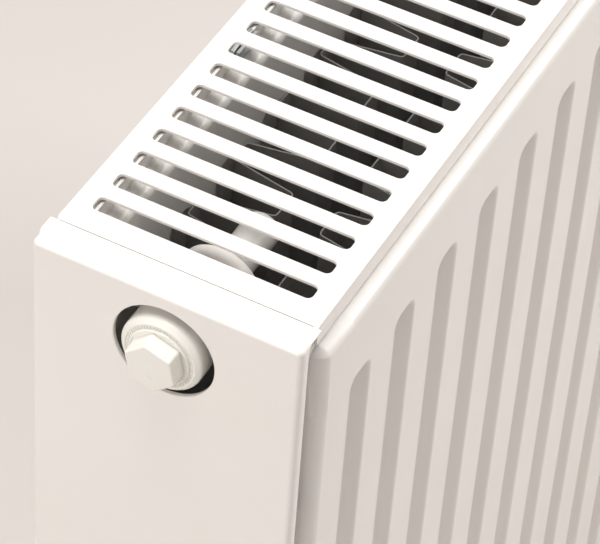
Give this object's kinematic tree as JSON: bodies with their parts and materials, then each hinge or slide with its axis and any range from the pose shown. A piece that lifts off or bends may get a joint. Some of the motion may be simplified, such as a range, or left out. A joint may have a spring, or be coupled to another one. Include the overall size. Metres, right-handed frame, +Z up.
{
  "type": "radiator with valve",
  "caption": "Double-panel steel radiator with vertical channels, slotted top grille, side covers, built-in valve with a turnable white cap, and an air vent.",
  "frame": {"origin": "middle of the footprint, on the floor edge of the panels", "axes": "+X along the radiator from the valve end to the vent end, +Y towards the wall, +Z up; the room side faces -Y"},
  "size_m": [0.624, 0.1142, 0.5],
  "materials": {
    "panel_paint": "white stove enamel, satin to semi-gloss, on pressed sheet steel",
    "convector_paint": "thin grey dip primer on folded sheet steel",
    "cover_paint": "white powder coat, satin, on folded sheet steel",
    "zinc_steel": "zinc-plated steel, slightly cloudy",
    "riser_steel": "plain drawn steel tube",
    "stainless": "ground stainless steel",
    "brass": "machined brass",
    "nickel": "nickel-plated brass",
    "plug_paint": "white stove enamel on a turned steel plug",
    "white_plastic": "white moulded plastic, fine sheen",
    "rubber": "black EPDM rubber"
  },
  "bodies": {
    "radiator_body": {"front_panel_outer_sheet": "panel_paint", "front_panel_inner_sheet": "panel_paint", "rear_panel_inner_sheet": "panel_paint", "rear_panel_outer_sheet": "panel_paint", "hanging_lug_top_left": "panel_paint", "hanging_lug_top_right": "panel_paint", "hanging_lug_bottom_left": "panel_paint", "hanging_lug_bottom_right": "panel_paint", "hub_top_left": "panel_paint", "hub_top_right": "panel_paint", "hub_bottom_left": "panel_paint", "hub_bottom_right": "panel_paint", "front_convector": "convector_paint", "rear_convector": "convector_paint", "side_cover_left": "cover_paint", "side_cover_right": "cover_paint", "top_grille": "cover_paint", "flow_nipple": "zinc_steel", "return_tee": "zinc_steel", "nipple_bracket": "zinc_steel", "grille_clip_front_left": "zinc_steel", "grille_clip_front_right": "zinc_steel", "grille_clip_rear_left": "zinc_steel", "grille_clip_rear_right": "zinc_steel", "cover_clip_left_front_top": "zinc_steel", "cover_clip_left_front_bottom": "zinc_steel", "cover_clip_left_rear_top": "zinc_steel", "cover_clip_left_rear_bottom": "zinc_steel", "cover_clip_right_front_top": "zinc_steel", "cover_clip_right_front_bottom": "zinc_steel", "cover_clip_right_rear_top": "zinc_steel", "cover_clip_right_rear_bottom": "zinc_steel", "riser_pipe": "riser_steel", "valve_spring": "stainless", "valve_insert_body": "brass", "valve_gland": "brass", "vent_plug_body": "nickel", "blind_plug_left": "plug_paint", "blind_plug_right": "plug_paint", "valve_seal_ring": "rubber", "vent_seal_ring": "rubber", "blind_plug_left_seal": "rubber", "blind_plug_right_seal": "rubber"},
    "valve_stem": {"valve_pin": "stainless", "valve_disc": "rubber"},
    "valve_cap": {"valve_cap": "white_plastic"},
    "bleed_seal": {"bleed_screw_seal": "rubber"},
    "bleed_screw": {"bleed_screw": "brass"},
    "vent_nozzle": {"vent_nozzle": "white_plastic"}
  },
  "joints": [
    {"name": "valve_stem_travel", "type": "slide", "parent": "radiator_body", "child": "valve_stem", "axis": [1, 0, 0], "range_m": [0, 0.002], "deforming": ["valve_spring"]},
    {"name": "valve_cap_turn", "type": "hinge", "parent": "valve_stem", "child": "valve_cap", "pos_m": [-0.3025, -0.00265, 0.474], "axis": [1, 0, 0], "range_deg": [0, 480]},
    {"name": "bleed_screw_lift", "type": "slide", "parent": "radiator_body", "child": "bleed_seal", "axis": [1, 0, 0], "range_m": [0, 0.0015]},
    {"name": "bleed_screw_turn", "type": "hinge", "parent": "bleed_seal", "child": "bleed_screw", "pos_m": [0.3095, -0.00265, 0.474], "axis": [1, 0, 0], "range_deg": [0, 540]},
    {"name": "vent_nozzle_turn", "type": "hinge", "parent": "radiator_body", "child": "vent_nozzle", "pos_m": [0.3095, -0.00265, 0.474], "axis": [1, 0, 0], "continuous": true}
  ],
  "couplings": [
    {"joint": "valve_stem_travel", "follows": "valve_cap_turn", "m_per_rad": 0.0002387},
    {"joint": "bleed_screw_turn", "follows": "bleed_screw_lift", "rad_per_m": 6283}
  ]
}
